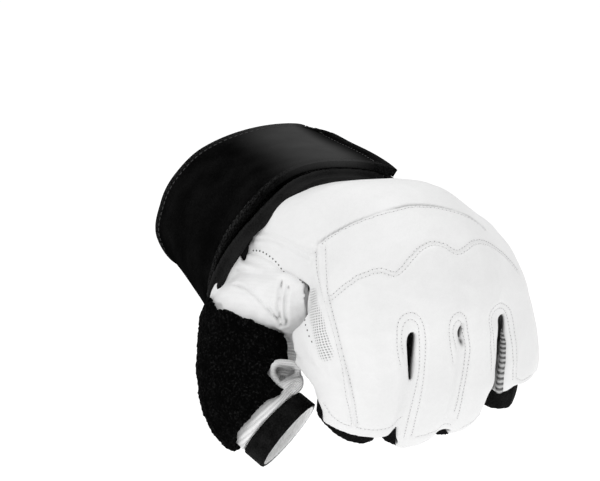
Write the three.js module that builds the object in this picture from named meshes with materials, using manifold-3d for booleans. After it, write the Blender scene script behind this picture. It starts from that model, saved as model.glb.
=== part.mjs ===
// A left-hand karate glove, shaped as it is worn on a closed fist and hollow where the hand goes in.
// Padded white leather covers the back of the hand, the knuckles and the front of the fingers, with a slot
// between each two fingers. Each finger passes through a knitted tube that ends in a black elastic band. The
// thumb has its own bent tube under a black terry patch, and a broad black strap winds once round the wrist.
// Millimetres, +Z up. The origin is the centre of the wrist opening, the arm leaves along +Y, the knuckles
// face -Y, the back of the hand faces +Z, and the thumb is on the -X side.

import * as THREE from "three";
import { mergeVertices } from "three/addons/utils/BufferGeometryUtils.js";
import Module from "manifold-3d";

const wasm = await Module();
wasm.setup();

// Driving dimensions

const CLEAR = 0.35; // gap kept between neighbouring pieces
const SIDE_WALL = 2.6; // leather at the sides of the hand
const LITTLE_PAD = 7.5; // and round the outside of the little finger
const PALM_WALL = 2; // leather of the palm
const KNIT = 1.4; // stretch knit of the finger and thumb tubes
const TERRY = 2.2; // pile of the thumb patch
const CUFF_WALL = 3;
const PIPING = 0.9; // ridge round the cuff just before the leather
const TURN = 15; // degrees that the fist turns from the wrist's line, towards the little finger
const BEND = { from: -30, to: -64 }; // where along the hand that turn takes place
const SHIFT = { x: 4, z: 1 }; // how far it moves aside and up over the same length

// The strap winds round the cuff. Its angles are measured from the top of the wrist towards the thumb's side.
const STRAP = {
  width: 56,
  thick: 3.2,
  end: -34.5, // the free end, on the outside
  start: 372, // the hidden inner end
  lap: 30, // the outer turn rests on the inner one up to here,
  down: 78, // and comes down to the cuff over this many degrees more
  lift: 1.2, // how far the free end stands off
  slant: 9, // degrees by which the free end is cut shorter at the rear rim
  middle: { x: -3.2, z: -3 }, // of the winding
  roll: 4, // degrees by which its oval is turned, lower on the thumb's side
  half: { x: 42.3, z: 28.6 }, // inside of the inner turn, half sizes
  flare: 2.2, // how much wider it is at the front rim, and narrower at the rear
};

// The hand form, outer surface. Each row is one oval section across the hand. Its plane leans by lean degrees
// from upright, so that the form turns down over the knuckles and tucks under at the finger ends.
// y, z: the section's middle; top, under: its height to the outside and to the palm side; index, little: its
// half widths; square: how boxy it is; pad: thickness of the wall on the outside.
const HAND = [
  { at: "cuff", lean: 0, y: -37, z: 0, top: 29, under: 24, index: 35, little: 39, square: 2.15, pad: 3 },
  { at: "wrist", lean: 0, y: -47, z: 0, top: 32, under: 24, index: 34, little: 40, square: 2.2, pad: 3 },
  { at: "back", lean: 6, y: -58, z: -1, top: 32.5, under: 25, index: 37, little: 43, square: 2.3, pad: 4 },
  { at: "crown", lean: 18, y: -66, z: -3, top: 31.1, under: 22, index: 40.5, little: 43.2, square: 2.5, pad: 6 },
  { at: "knuckle top", lean: 38, y: -70, z: -7, top: 31.9, under: 16, index: 44, little: 45.8, square: 2.8, pad: 8 },
  { at: "knuckle", lean: 60, y: -71, z: -12, top: 31, under: 10, index: 46.5, little: 49.4, square: 3.1, pad: 9 },
  { at: "finger top", lean: 80, y: -71, z: -18, top: 28.6, under: 5, index: 47.5, little: 51.4, square: 3.4, pad: 8 },
  { at: "finger", lean: 94, y: -70, z: -28, top: 27.8, under: 4, index: 47, little: 54.7, square: 3.6, pad: 6 },
  { at: "finger low", lean: 106, y: -69, z: -37, top: 25.7, under: 3, index: 44.5, little: 56.6, square: 3.6, pad: 6 },
  { at: "joint", lean: 124, y: -68, z: -43, top: 23.2, under: 2, index: 43, little: 57.7, square: 3.4, pad: 5 },
  { at: "tuck", lean: 142, y: -67, z: -45, top: 20, under: 2, index: 41.5, little: 56.1, square: 3.2, pad: 4 },
  { at: "beyond", lean: 152, y: -66, z: -51, top: 20.5, under: 2, index: 43.5, little: 56.5, square: 3.2, pad: 1 },
];
const LAST = HAND.length - 2; // the leather ends at the last row but one
const LOBE_END = 9.7; // station where the leather of the two middle fingers ends

// The knuckles lie on an arch. Away from the middle finger they sit further back and lower, and the fingers end
// higher. One row for each 16 mm across the fist, from x = -48. back: at the knuckles; low: how far back the
// finger ends are.
const ARCH_STEP = { first: -48, step: 16 };
const ARCH = [
  { back: 8, low: 6, drop: 4.5, rise: 3.5 },
  { back: 4.8, low: 3.5, drop: 2, rise: 2.5 },
  { back: 1.2, low: 1, drop: 0.5, rise: 0.5 },
  { back: 0, low: 0, drop: 0, rise: 1 },
  { back: 3, low: 2, drop: 1, rise: 0.5 },
  { back: 9, low: 4, drop: 8.5, rise: 4 },
  { back: 15, low: 6, drop: 9.8, rise: 1.8 },
  { back: 20, low: 8, drop: 15, rise: 1 },
];

// Fingers across the fist: centre, half width and half depth of the knitted tube. Then stations of the hand form:
// where the lobe of leather ends, where the knit turns into elastic and ends, and from where the tube runs straight.
const FINGERS = [
  { name: "index", x: -31, wide: 9.4, deep: 9.2, lobe: 8.6, elastic: 8.3, end: 9.3, straight: 8.2 },
  { name: "middle", x: -10.4, wide: 9.7, deep: 9.4, lobe: 9.7, elastic: 9.25, end: 10.35, straight: 9.7 },
  { name: "ring", x: 10.2, wide: 9.4, deep: 9.2, lobe: 9.7, elastic: 9.25, end: 10.3, straight: 9.7 },
  { name: "little", x: 38, wide: 9, deep: 8, lobe: 8.5, elastic: 8.6, end: 10.2, straight: 8.2 },
];

// Slots between the fingers: place and height of the round top, its width, and the width lower down
const SLOTS = [
  { x: -20.4, z: -6.5, top: 3.2, low: 1.4, waist: 22 },
  { x: 0.2, z: -8, top: 2.4, low: 1.1, waist: 8 },
  { x: 20.8, z: -10.5, top: 4.6, low: 4.4, waist: 30 },
];

const TUBE = { start: 5.7, step: 10 }; // station where the finger tubes start, and millimetres a station where straight

// The thumb tube is sewn into an opening at the side of the hand, a rounded square of stations and angles.
const THUMB_HOLE = { station: 1.05, reach: 1.035, angle: -117.5, spread: 31.2, square: 8 };

// From there it follows this line to the elastic at its end, in the wrist's frame.
// x, y, z: its middle; wide: half width across the bend; deep: half depth in the plane of the bend.
const THUMB = [
  { at: "inside", x: -14, y: -41, z: 0, wide: 18, deep: 18 },
  { at: "base", x: -25, y: -43, z: -9, wide: 18, deep: 17.5 },
  { at: "knuckle", x: -34.5, y: -45.5, z: -19, wide: 16.6, deep: 14.8 },
  { at: "shaft", x: -35.2, y: -53, z: -32, wide: 18.8, deep: 13.6 },
  { at: "joint", x: -37.1, y: -60.3, z: -40.4, wide: 15.7, deep: 13.6 },
  { at: "end", x: -33.2, y: -66.5, z: -46, wide: 14.4, deep: 14 },
  { at: "rim", x: -28, y: -72.1, z: -50.6, wide: 14.4, deep: 14 },
];
const THUMB_STEPS = { first: 0.9, step: 0.28, gusset: 5, join: 0.04, knit: 15, turn: 15 }; // stations and angles of its grid
const PATCH = { from: 4, to: 14, near: -150, far: 15, nearMore: 0.9, farMore: 0.1 }; // steps and angles under the terry
const ROLL = { x: -28.6, y: -67, z: -30.4, ring: 3.4, tube: 2.3 }; // gathered fold at the inside of the bend
const BENDS = { depth: 0.45, from: 1.5, to: 3.4, side: 80 }; // small folds across the inside of the bend

// Smooth interpolation

const clamp = (v, low, high) => Math.min(high, Math.max(low, v));
const mix = (a, b, t) => a + (b - a) * t;
const smooth = (low, high, v) => {
  const t = clamp((v - low) / (high - low), 0, 1);
  return t * t * (3 - 2 * t);
};
const radians = (degrees) => (degrees * Math.PI) / 180;
// Evenly spaced values from first to last, both included.
const steps = (first, last, count) => Array.from({ length: count + 1 }, (_, i) => mix(first, last, i / count));

// A row between the rows of a table, on a smooth curve through them, with every numeric column.
function rowAt(table, s) {
  const i = clamp(Math.floor(s), 0, table.length - 2);
  const t = s - i;
  const [a, b, c, d] = [i - 1, i, i + 1, i + 2].map((k) => table[clamp(k, 0, table.length - 1)]);
  const row = {};
  for (const key of Object.keys(b)) {
    if (typeof b[key] !== "number") continue;
    const slopeB = (c[key] - a[key]) / 2;
    const slopeC = (d[key] - b[key]) / 2;
    const rise = c[key] - b[key];
    row[key] = b[key] + t * (slopeB + t * (3 * rise - 2 * slopeB - slopeC + t * (slopeB + slopeC - 2 * rise)));
  }
  return row;
}

// A point of a superellipse: sine and cosine bent towards a rounded rectangle.
function squared(angle, square) {
  const bend = (v) => Math.sign(v) * Math.abs(v) ** (2 / square);
  return [bend(Math.sin(angle)), bend(Math.cos(angle))];
}

// The fist's own frame, which bends away from the wrist's line
function turned({ x, y, z }) {
  const bend = smooth(-BEND.from, -BEND.to, -y);
  const placed = new THREE.Vector3(x + SHIFT.x * bend, y, z + SHIFT.z * bend);
  return placed.applyAxisAngle(new THREE.Vector3(0, 0, 1), radians(TURN * bend));
}

// The hand form

// How far the outer surface sinks into the lines between the fingers.
function valley(x, s) {
  const depth = 3 * smooth(4.6, 6.4, s);
  let sink = 0;
  for (const slot of SLOTS) sink = Math.max(sink, depth * Math.exp(-(((x - slot.x) / 3.6) ** 2)));
  return sink;
}

const archAt = (x) => rowAt(ARCH, clamp((x - ARCH_STEP.first) / ARCH_STEP.step, 0, ARCH.length - 1));

// A place in the leaning plane of station s: x across the hand and n to the outside. up is 1 on the outside.
function handPlace(s, row, x, n, up) {
  const arch = archAt(x);
  const back = mix(arch.back, arch.low, smooth(5, 9, s)) * smooth(1.5, 5, s);
  const drop = arch.drop * smooth(-0.5, 2, s) * (1 - smooth(4, 6.5, s)) * Math.max(0, up);
  const rise = arch.rise * smooth(6, 9, s);
  const lean = radians(row.lean);
  return turned({ x, y: row.y - n * Math.sin(lean) + back, z: row.z + n * Math.cos(lean) - drop + rise });
}

const sideWall = (x, s) => (x < 0 ? SIDE_WALL : mix(SIDE_WALL, LITTLE_PAD, smooth(3, 6.5, s)));

// A point on the hand form at station s and angle round it: 0 is the outside, 90 the little finger's side,
// -90 the index side and 180 the palm. inset moves it inwards, by the wall's own thickness too where deep is 1.
function handPoint(s, angle, { inset = 0, deep = 0 } = {}) {
  const row = rowAt(HAND, s);
  const [across, up] = squared(radians(angle), row.square);
  const x = ((across < 0 ? row.index : row.little) - deep * sideWall(across, s) - inset) * across;
  let n = (up > 0 ? row.top - deep * row.pad - inset : row.under - deep * PALM_WALL - inset) * up;
  if (!deep && up > 0) n -= valley(x, s) * up;
  return handPlace(s, row, x, n, up);
}

// A ring of a finger tube: an oval that lies against the inside of the leather.
function fingerRing(finger, s, inset) {
  const held = Math.min(s, finger.straight);
  const row = rowAt(HAND, held);
  const limit = (x) => (x < 0 ? row.index : row.little) - sideWall(x, held) - CLEAR - 0.5;
  const ceiling = (x) => (row.top - row.pad - CLEAR - 0.5) * (1 - Math.abs(x / limit(x)) ** row.square) ** (1 / row.square);
  const middle = ceiling(finger.x) - finger.deep;
  const onward = new THREE.Vector3(0, 0.4, -1).multiplyScalar(TUBE.step * (s - held));
  return steps(0, 360, 14)
    .slice(0, 14)
    .map((angle) => {
      const [across, out] = squared(radians(angle), 2.3);
      const room = limit(finger.x) - 0.4 - inset;
      const x = clamp(finger.x + (finger.wide - inset) * across, -room, room);
      const n = Math.min(middle + (finger.deep - inset) * out, ceiling(x) - inset);
      return handPlace(held, row, x, n, 1).add(onward);
    });
}

// Closed meshes from grids of points

function geometryOf(points, faces) {
  const geometry = new THREE.BufferGeometry();
  geometry.setAttribute("position", new THREE.Float32BufferAttribute(points.flatMap((p) => [p.x, p.y, p.z]), 3));
  geometry.setIndex(faces);
  return geometry;
}

// A wall between an outer and an inner grid of the same size. The columns run round the piece. round closes
// the columns into a tube, and otherwise the wall has four rims.
function wall(outer, inner, round = false) {
  const rows = outer.length;
  const columns = outer[0].length;
  const faces = [];
  const id = (layer, r, c) => layer * rows * columns + r * columns + (c % columns);
  const quad = (a, b, c, d) => faces.push(a, b, c, a, c, d);
  const last = round ? columns : columns - 1;
  for (let r = 0; r < rows - 1; r++)
    for (let c = 0; c < last; c++) {
      quad(id(0, r, c), id(0, r, c + 1), id(0, r + 1, c + 1), id(0, r + 1, c));
      quad(id(1, r, c), id(1, r + 1, c), id(1, r + 1, c + 1), id(1, r, c + 1));
    }
  for (let c = 0; c < last; c++) {
    quad(id(0, 0, c), id(1, 0, c), id(1, 0, c + 1), id(0, 0, c + 1));
    quad(id(0, rows - 1, c), id(0, rows - 1, c + 1), id(1, rows - 1, c + 1), id(1, rows - 1, c));
  }
  if (!round)
    for (let r = 0; r < rows - 1; r++) {
      quad(id(0, r, 0), id(0, r + 1, 0), id(1, r + 1, 0), id(1, r, 0));
      quad(id(0, r, columns - 1), id(1, r, columns - 1), id(1, r + 1, columns - 1), id(0, r + 1, columns - 1));
    }
  return solidOf(geometryOf([...outer.flat(), ...inner.flat()], faces));
}

// A solid lofted through closed rings, with an end face at each end.
function plug(rings) {
  const count = rings[0].length;
  const ends = [rings[0], rings[rings.length - 1]].map((ring) =>
    ring.reduce((sum, p) => sum.add(p), new THREE.Vector3()).divideScalar(count),
  );
  const faces = [];
  const id = (r, c) => r * count + (c % count);
  const [first, last] = [rings.length * count, rings.length * count + 1];
  for (let r = 0; r < rings.length - 1; r++)
    for (let c = 0; c < count; c++)
      faces.push(id(r, c), id(r, c + 1), id(r + 1, c + 1), id(r, c), id(r + 1, c + 1), id(r + 1, c));
  for (let c = 0; c < count; c++) {
    faces.push(first, id(0, c + 1), id(0, c));
    faces.push(last, id(rings.length - 1, c), id(rings.length - 1, c + 1));
  }
  return solidOf(geometryOf([...rings.flat(), ...ends], faces));
}

// A manifold-3d solid, turned right side out if its grid ran the other way round.
function solidOf(geometry) {
  const plain = geometry.clone();
  for (const name of Object.keys(plain.attributes)) if (name !== "position") plain.deleteAttribute(name);
  const merged = mergeVertices(plain, 1e-4);
  const triVerts = new Uint32Array(merged.index.array);
  const vertProperties = new Float32Array(merged.attributes.position.array);
  const make = () => new wasm.Manifold(new wasm.Mesh({ numProp: 3, vertProperties, triVerts }));
  const made = make();
  if (made.volume() > 0) return made;
  for (let i = 0; i < triVerts.length; i += 3) [triVerts[i + 1], triVerts[i + 2]] = [triVerts[i + 2], triVerts[i + 1]];
  return make();
}

// Materials

const leather = new THREE.MeshStandardMaterial({ color: 0xf1f1ef, roughness: 0.5, metalness: 0 });
const mesh = new THREE.MeshStandardMaterial({ color: 0xdededc, roughness: 0.85, metalness: 0 });
const knit = new THREE.MeshStandardMaterial({ color: 0xe6e6e4, roughness: 0.9, metalness: 0 });
const elastic = new THREE.MeshStandardMaterial({ color: 0x0d0d0e, roughness: 0.85, metalness: 0 });
const terry = new THREE.MeshStandardMaterial({ color: 0x101011, roughness: 0.98, metalness: 0 });
const neoprene = new THREE.MeshStandardMaterial({ color: 0x121213, roughness: 0.75, metalness: 0 });

const glove = new THREE.Group();
glove.name = "karate_glove";

function add(name, solid, material) {
  const { vertProperties, triVerts, numProp } = solid.getMesh();
  const points = [];
  for (let i = 0; i < vertProperties.length; i += numProp)
    points.push(new THREE.Vector3(vertProperties[i], vertProperties[i + 1], vertProperties[i + 2]));
  const geometry = geometryOf(points, Array.from(triVerts));
  geometry.computeVertexNormals();
  const piece = new THREE.Mesh(geometry, material);
  piece.name = name;
  glove.add(piece);
}

// Edges of the panels round the hand, as angles

const SEAM = 2.1; // station of the seam between the two panels of the back
const LITTLE_EDGE = 108; // where the leather of the back meets the palm on the little finger's side
const littleEdge = (s) => LITTLE_EDGE + 22 * smooth(3.5, 6.5, s); // and where it ends round the little finger
const BACK_EDGE = -86; // index edge of the back panel, over the root of the thumb
const indexEdge = (s) => mix(-68, -44, smooth(4, 8.6, s)) + 7 * (1 - smooth(SEAM, 4, s)); // index edge of the knuckle panel
// where the mesh side panel meets the palm, and lower down ends beside the index finger
const sideEnd = (s) => mix(-110, -123, smooth(2, 4.5, s)) + 43 * smooth(5.6, 7.2, s) + 6 * smooth(7.4, 8.4, s);
const GAP = 0.7; // degrees left open between neighbouring panels

// A panel of the hand form over a range of stations and angles.
function panel(stations, columns, from, to) {
  const grid = (options) => stations.map((s) => steps(from(s), to(s), columns).map((a) => handPoint(s, a, options)));
  return wall(grid({}), grid({ deep: 1 }));
}

// The wrist

function wristPoint(y, angle, offset) {
  const grow = STRAP.flare * (1 - 2 * smooth(-28, 28, y)) + offset;
  const [x, z] = squared(radians(-angle), 2.03);
  const point = new THREE.Vector3((STRAP.half.x + grow) * x, y, (STRAP.half.z + grow) * z);
  point.applyAxisAngle(new THREE.Vector3(0, 1, 0), radians(-STRAP.roll));
  return point.add(new THREE.Vector3(STRAP.middle.x, 0, STRAP.middle.z));
}

// The cuff lies inside the strap and swells in front of it to meet the leather.
const FRONT = -36.4;
const cuffGrid = (depth) =>
  [24, 8, -9, -25, -28.5, -32.5, -34.5, FRONT].map((y) =>
    steps(0, 360, 26).slice(0, 26).map((a) => {
      const ridge = PIPING * Math.exp(-(((y + 33) / 1.6) ** 2));
      const front = handPoint(0, -a, { inset: depth - ridge });
      front.y += y - FRONT + 0.6;
      return wristPoint(y, a, -CLEAR - depth).lerp(front, smooth(27, 34, -y));
    }),
  );
const cuffSolid = plug(cuffGrid(-CLEAR));
add("wrist_cuff", wall(cuffGrid(0), cuffGrid(CUFF_WALL), true), neoprene);

// The thumb tube

const thumbPath = (s) => {
  const row = rowAt(THUMB, s);
  return new THREE.Vector3(row.x, row.y, row.z);
};

function thumbFrame(s) {
  const along = thumbPath(Math.min(s + 0.05, THUMB.length - 1)).sub(thumbPath(Math.max(s - 0.05, 0))).normalize();
  const across = new THREE.Vector3(0.3, -0.7, 0.55).cross(along).normalize();
  return { across, out: along.clone().cross(across).normalize() };
}

// The sewn edge of the opening, as seen along the thumb: its points by their angle in the thumb's own frame.
function holePoint(t, shrink) {
  const [v, u] = squared(radians(t), THUMB_HOLE.square);
  const { station, reach, angle, spread } = THUMB_HOLE;
  return [station + reach * shrink * u, angle + spread * shrink * v];
}
const holeMiddle = handPoint(THUMB_HOLE.station, THUMB_HOLE.angle);
const holeAngles = steps(0, 359, 359).map((t) => {
  const away = handPoint(...holePoint(t, 1)).sub(holeMiddle);
  const { across, out } = thumbFrame(1.3);
  return [t, Math.atan2(away.dot(across), away.dot(out))];
});
function holeEdge(angle, shrink, inset) {
  const gap = (other) => Math.abs(Math.atan2(Math.sin(other - radians(angle)), Math.cos(other - radians(angle))));
  const [t] = holeAngles.reduce((best, at) => (gap(at[1]) < gap(best[1]) ? at : best));
  return handPoint(...holePoint(t, shrink), { inset });
}

// A point of the thumb tube. Up to the knuckle it grows out of the sewn edge.
function thumbPoint(s, angle, inset) {
  const row = rowAt(THUMB, s);
  const { across, out } = thumbFrame(s);
  const a = radians(angle);
  const facing = Math.max(0, Math.cos(radians(angle - BENDS.side)));
  const along = smooth(BENDS.from, BENDS.from + 0.4, s) * (1 - smooth(BENDS.to - 0.4, BENDS.to, s));
  const fold = BENDS.depth * facing * along * Math.cos((Math.PI * (s - THUMB_STEPS.first)) / THUMB_STEPS.step);
  const point = thumbPath(s)
    .addScaledVector(across, (row.wide + fold - inset) * Math.sin(a))
    .addScaledVector(out, (row.deep + fold - inset) * Math.cos(a));
  if (s >= 2) return point;
  return holeEdge(angle, 1 - 0.045 * inset, -CLEAR).lerp(point, smooth(0.9, 2, s) ** 0.8);
}

const thumbStation = (step) => THUMB_STEPS.first + step * THUMB_STEPS.step;
const thumbRing = (s, inset) => {
  const count = 360 / THUMB_STEPS.turn;
  return steps(0, 360, count).slice(0, count).map((a) => thumbPoint(s, a, inset));
};
const thumbRings = (from, to, count, inset) => steps(from, to, count).map((s) => thumbRing(s, inset));
const THUMB_END = THUMB.length - 1;
const BAND = thumbStation(THUMB_STEPS.knit) + 0.04; // where the thumb's elastic takes over from the knit

// The panels are open where the thumb goes in, and give way to the tube where it lies against them.
const holeRing = (inset) => steps(0, 360, 40).slice(0, 40).map((t) => handPoint(...holePoint(t, 0.97), { inset }));
const thumbHole = plug([holeRing(9), holeRing(3), holeRing(-5)]);
const thumbSolid = plug(thumbRings(1.5, THUMB_END, 16, -CLEAR - 0.3));
const handRings = (options, last) =>
  steps(0, last, 22).map((s) => steps(0, 360, 36).slice(0, 36).map((a) => handPoint(s, a, options)));
const handSolid = plug(handRings({ inset: -CLEAR }, LAST));

// The thumb's tube in two lengths: a gusset out of the sewn edge, and the knit from there to the elastic.
const tubeWall = (stepsAlong) => {
  const rings = (inset) => stepsAlong.map((k) => thumbRing(thumbStation(k), inset));
  return wall(rings(0), rings(KNIT), true);
};
const { gusset, knit: knitEnd, join } = THUMB_STEPS;
const gussetTube = tubeWall([...steps(0, gusset - 1, gusset - 1), gusset - join]);
const thumbTube = tubeWall([gusset + join, ...steps(gusset + 1, knitEnd, knitEnd - gusset - 1)]);
const atRoll = (geometry) => solidOf(geometry.lookAt(new THREE.Vector3(-0.3, -0.88, 0.36)).translate(ROLL.x, ROLL.y, ROLL.z));
const roll = atRoll(new THREE.TorusGeometry(ROLL.ring, ROLL.tube, 8, 14));
const reach = ROLL.ring + ROLL.tube + 2 * CLEAR;
const rollRoom = atRoll(new THREE.CylinderGeometry(reach, reach, 11, 14).rotateX(Math.PI / 2));
add("thumb_gusset", gussetTube.subtract(cuffSolid), knit);
add("thumb_tube", thumbTube.add(roll).subtract(cuffSolid), knit);
add("thumb_band", wall(thumbRings(BAND, THUMB_END, 1, -0.3), thumbRings(BAND, THUMB_END, 1, KNIT), true), elastic);

const patchAngles = steps(PATCH.near, PATCH.far, (PATCH.far - PATCH.near) / THUMB_STEPS.turn);
const patchGrid = (inset) => {
  const at = (step, a) => thumbPoint(thumbStation(step), a, inset);
  const more = (a) => mix(PATCH.nearMore, PATCH.farMore, (a - PATCH.near) / (PATCH.far - PATCH.near));
  const edge = patchAngles.map((a) => at(PATCH.from, a).lerp(at(PATCH.from - 1, a), more(a)));
  return [edge, ...steps(PATCH.from, PATCH.to, PATCH.to - PATCH.from).map((k) => patchAngles.map((a) => at(k, a)))];
};
const patch = wall(patchGrid(-CLEAR - TERRY), patchGrid(-CLEAR));
add("thumb_patch", patch.subtract(handSolid).subtract(rollRoom).subtract(cuffSolid), terry);

// The leather of the back of the hand, in two panels that meet at a seam across it

const backPanel = panel(steps(0, SEAM - 0.015, 5), 28, () => BACK_EDGE, () => LITTLE_EDGE);
add("back_panel", backPanel.subtract(thumbHole).subtract(thumbSolid), leather);

// The angle at which the hand form is x across, at station s.
function angleAt(s, x) {
  const row = rowAt(HAND, s);
  const across = Math.abs(x) / (x < 0 ? row.index : row.little);
  return (Math.sign(x) * Math.asin(across ** (row.square / 2)) * 180) / Math.PI;
}

// The columns of the knuckle panel's grid, as angles: evenly spaced at the knuckles, and lower down close
// together along each slot.
const COLUMNS = [-1, 0, 1].flatMap((k) => [5, 2.6, 1.2].map((d) => [SLOTS[k + 1].x, d * (k > 0 ? 1.5 : 1)]))
  .flatMap(([x, d]) => [x - d, x + d])
  .concat(-10.1, 10.4)
  .sort((a, b) => a - b);
function columnAngles(s) {
  const [from, to] = [indexEdge(s), littleEdge(s)];
  const along = COLUMNS.map((x) => angleAt(s, x));
  const angles = [...steps(from, along[0], 3), ...along.slice(1), ...steps(along[along.length - 1], to, 9).slice(1)];
  const near = smooth(2.3, 4.6, s);
  return angles.map((angle, i) => mix(mix(from, to, i / (angles.length - 1)), angle, near));
}

// Each finger lobe ends in a rounded tip, so the panel ends sooner beside the slots.
function lobeEnd(s, column) {
  const angle = columnAngles(8)[column];
  const [across] = squared(radians(angle), rowAt(HAND, 8).square);
  const x = across * rowAt(HAND, 8)[across < 0 ? "index" : "little"];
  const nearest = FINGERS.reduce((best, f) => (Math.abs(f.x - x) < Math.abs(best.x - x) ? f : best));
  const end = LOBE_END - 0.8 * Math.min(1, Math.abs(x - nearest.x) / 10.4) ** 4;
  return SEAM + (s - SEAM) * ((end - SEAM) / (LAST - SEAM));
}
const knuckleGrid = (options) =>
  steps(SEAM + 0.015, LAST, 16).map((s) =>
    columnAngles(s).map((_, column) => {
      const station = lobeEnd(s, column);
      return handPoint(station, columnAngles(station)[column], options);
    }),
  );

// The two outer lobes are shorter. This is what they lack, past the station where a finger's lobe ends.
function lobeCutter(finger, from, to) {
  const grid = (options) =>
    steps(0, 1, 3).map((t) =>
      steps(0, 1, 12).map((u) => {
        const round = 0.35 * Math.abs(2 * u - 1) ** 5;
        return handPoint(mix(finger.lobe - round, LAST + 1, t), mix(from, to, u), options);
      }),
    );
  return wall(grid({ inset: -3 }), grid({ inset: 9 }));
}

// A slot's round top and long narrow tail, cut through the finger fronts along Y.
function slotCutter({ x, z, top, low, waist }) {
  const shape = new THREE.Shape();
  const r = top / 2;
  shape.moveTo(x - low / 2, z - 75);
  shape.lineTo(x + low / 2, z - 75);
  shape.lineTo(x + low / 2, z - r - waist);
  shape.lineTo(x + r, z - r);
  shape.absarc(x, z - r, r, 0, Math.PI, false);
  shape.lineTo(x - low / 2, z - r - waist);
  const geometry = new THREE.ExtrudeGeometry(shape, { depth: 60, bevelEnabled: false, curveSegments: 8 });
  geometry.rotateX(Math.PI / 2);
  geometry.translate(SHIFT.x, -60, SHIFT.z);
  geometry.rotateZ(radians(TURN));
  return solidOf(geometry);
}

const knuckleBlank = wall(knuckleGrid({}), knuckleGrid({ deep: 1 }))
  .subtract(lobeCutter(FINGERS[0], -100, angleAt(8.6, SLOTS[0].x)))
  .subtract(lobeCutter(FINGERS[3], angleAt(8.6, SLOTS[2].x), 140));
add("knuckle_panel", SLOTS.reduce((solid, slot) => solid.subtract(slotCutter(slot)), knuckleBlank), leather);

const sidePanel = panel(steps(SEAM + 0.015, FINGERS[0].lobe, 13), 5, sideEnd, (s) => indexEdge(s) - GAP);
add("index_side_panel", sidePanel.subtract(thumbHole).subtract(thumbSolid), mesh);

const palmEdge = (s) => 360 - GAP + (s < SEAM - 0.03 ? THUMB_HOLE.angle : sideEnd(s));
const palmStations = [...steps(0, SEAM - 0.06, 4), ...steps(SEAM - 0.02, 3.6, 4)];
const palmPanel = panel(palmStations, 14, () => LITTLE_EDGE + GAP, palmEdge);
add("palm_panel", palmPanel.subtract(thumbHole).subtract(thumbSolid), leather);

// The knitted finger tubes and their elastic bands

for (const finger of FINGERS) {
  const tube = (from, to, count) => {
    const rings = (inset) => steps(from, to, count).map((s) => fingerRing(finger, s, inset));
    return wall(rings(0), rings(KNIT), true).subtract(thumbSolid);
  };
  add(`finger_tube_${finger.name}`, tube(TUBE.start, finger.elastic - 0.05, 5), knit);
  add(`finger_band_${finger.name}`, tube(finger.elastic, finger.end, 2), elastic);
}

// The strap

// Height of the strap's inside over the cuff, at an angle along the winding.
const lapHeight = (angle) =>
  (STRAP.thick + CLEAR) * (1 - smooth(STRAP.lap, STRAP.lap + STRAP.down, angle)) +
  STRAP.lift * (1 - smooth(STRAP.end, STRAP.end + 16, angle));
const strapAngles = steps(STRAP.end, STRAP.start, 50);
const strapGrid = (offset) =>
  steps(STRAP.width / 2, -STRAP.width / 2, 4).map((y) =>
    strapAngles.map((a) => {
      const slant = STRAP.slant * (y / STRAP.width) * (1 - smooth(STRAP.end, STRAP.end + 30, a));
      return wristPoint(y, a + slant, lapHeight(a) + offset);
    }),
  );
add("wrist_strap", wall(strapGrid(STRAP.thick), strapGrid(0)), neoprene);

export default glove;
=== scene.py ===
"""The look of a karate glove: white leather fist, knit tubes, terry patch and a wound strap.

Routes, sizes and moves are in mm, and MM turns them into the scene's metres.
"""
import math

import bpy
import numpy as np
from mathutils import Matrix, Vector, kdtree, noise
from mathutils.bvhtree import BVHTree


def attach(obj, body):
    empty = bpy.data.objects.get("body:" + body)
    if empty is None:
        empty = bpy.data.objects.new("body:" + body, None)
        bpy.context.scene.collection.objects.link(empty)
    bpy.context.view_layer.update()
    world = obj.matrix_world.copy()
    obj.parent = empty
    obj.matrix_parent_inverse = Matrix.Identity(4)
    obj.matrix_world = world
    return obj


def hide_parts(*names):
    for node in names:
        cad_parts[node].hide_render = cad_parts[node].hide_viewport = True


MM = 0.001

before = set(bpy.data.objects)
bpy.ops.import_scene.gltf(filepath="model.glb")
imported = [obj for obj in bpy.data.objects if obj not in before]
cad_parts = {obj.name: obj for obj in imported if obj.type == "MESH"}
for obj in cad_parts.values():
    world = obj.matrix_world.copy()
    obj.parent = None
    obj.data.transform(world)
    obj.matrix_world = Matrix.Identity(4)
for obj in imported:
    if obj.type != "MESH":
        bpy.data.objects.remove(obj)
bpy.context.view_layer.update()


# Camera, floor and light

CAMERA_AZIMUTH = math.radians(-18.8)
CAMERA_HEIGHT = math.radians(21.2)
CAMERA_AWAY = 0.8
LENS = 126.24
SENSOR_WIDTH = 36
SHIFT = (0.0033, -0.0275)
CLIP_START = 0.05
LIGHT_CENTRE = (0, -0.03, -0.01)
SKY_STRENGTH = 0.745
FLOOR_LEVEL, FLOOR_SIZE, FLOOR_GLOW = -0.26, 12, 0.3


def direction(azimuth, height):
    """From the glove towards a viewer at this angle."""
    return Vector(
        (
            math.sin(azimuth) * math.cos(height),
            -math.cos(azimuth) * math.cos(height),
            math.sin(height),
        )
    )


def aim(thing, azimuth, height, away, centre=(0, 0, 0)):
    """Puts a camera or a light on that side, looking at the centre."""
    back = direction(azimuth, height)
    thing.location = Vector(centre) + back * away
    thing.rotation_mode = "QUATERNION"
    thing.rotation_quaternion = (-back).to_track_quat("-Z", "Y")


def place_camera():
    eye = bpy.data.objects.new("photo_camera", bpy.data.cameras.new("photo_camera"))
    bpy.context.collection.objects.link(eye)
    aim(eye, CAMERA_AZIMUTH, CAMERA_HEIGHT, CAMERA_AWAY)
    eye.data.sensor_width = SENSOR_WIDTH
    eye.data.lens = LENS
    eye.data.shift_x, eye.data.shift_y = SHIFT
    eye.data.clip_start = CLIP_START
    bpy.context.scene.camera = eye


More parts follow.
